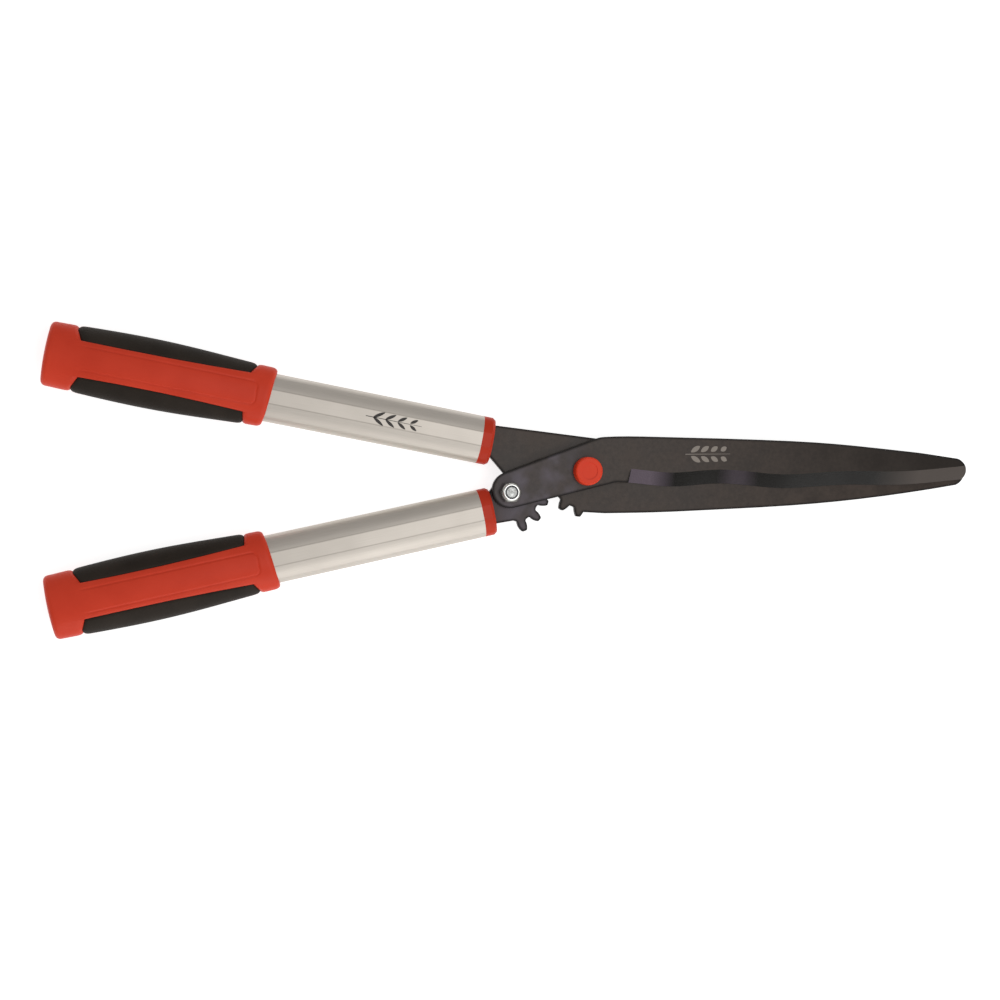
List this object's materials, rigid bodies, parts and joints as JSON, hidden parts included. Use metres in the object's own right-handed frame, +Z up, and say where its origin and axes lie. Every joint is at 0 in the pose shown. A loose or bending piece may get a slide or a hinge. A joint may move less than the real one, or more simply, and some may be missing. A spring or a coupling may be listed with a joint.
{
  "type": "hedge shears",
  "caption": "Geared hand hedge shears: wavy coated blades on a capped pivot, toothed lever plates, oval aluminium tubes and two-part soft grips.",
  "frame": {"origin": "centre of the closed tool's length and width, on the plane that its grips lie on", "axes": "+X along the tool towards the blade tips, +Y towards the handle of the rear blade, +Z up, out of the front blade's face"},
  "size_m": [0.6456, 0.2028, 0.028],
  "materials": {
    "coated_steel": "dark non-stick coating with a satin sheen",
    "red_plastic": "satin moulded plastic",
    "pad_rubber": "soft-touch moulded rubber",
    "tube_aluminium": "satin anodised",
    "zinc_steel": "bright zinc plated",
    "bush_steel": "turned",
    "slip_washer": "natural",
    "nylon": "natural"
  },
  "bodies": {
    "front_half": {"front_blade": "coated_steel", "pivot_bolt": "zinc_steel", "pivot_bush": "bush_steel", "pivot_shim": "slip_washer", "pivot_spring_washer": "zinc_steel", "pivot_nut": "zinc_steel", "pivot_cap": "red_plastic", "lever_bolt": "zinc_steel", "lever_bush": "bush_steel", "lever_shim": "slip_washer", "lever_lock_nut": "zinc_steel", "lever_nut_insert": "nylon"},
    "rear_half": {"rear_blade": "coated_steel", "upper_tube": "tube_aluminium", "upper_ferrule": "red_plastic", "upper_handle_rivets": "zinc_steel", "upper_grip_shell": "red_plastic", "upper_grip_outer_pad": "pad_rubber", "upper_grip_inner_pad": "pad_rubber"},
    "lever_half": {"lower_gear_lever": "coated_steel", "lower_tube": "tube_aluminium", "lower_ferrule": "red_plastic", "lower_handle_rivets": "zinc_steel", "lower_grip_shell": "red_plastic", "lower_grip_outer_pad": "pad_rubber", "lower_grip_inner_pad": "pad_rubber"}
  },
  "joints": [
    {"name": "blade_pivot", "type": "hinge", "parent": "front_half", "child": "rear_half", "pos_m": [0.03634, 0.0028, 0.014], "axis": [0, 0, -1], "range_deg": [0, 45]},
    {"name": "lever_pivot", "type": "hinge", "parent": "front_half", "child": "lever_half", "pos_m": [-0.01826, -0.0111, 0.014], "axis": [0, 0, 1], "range_deg": [0, 48.3]}
  ],
  "couplings": [
    {"joint": "lever_pivot", "follows": "blade_pivot", "ratio": 1.0714}
  ]
}
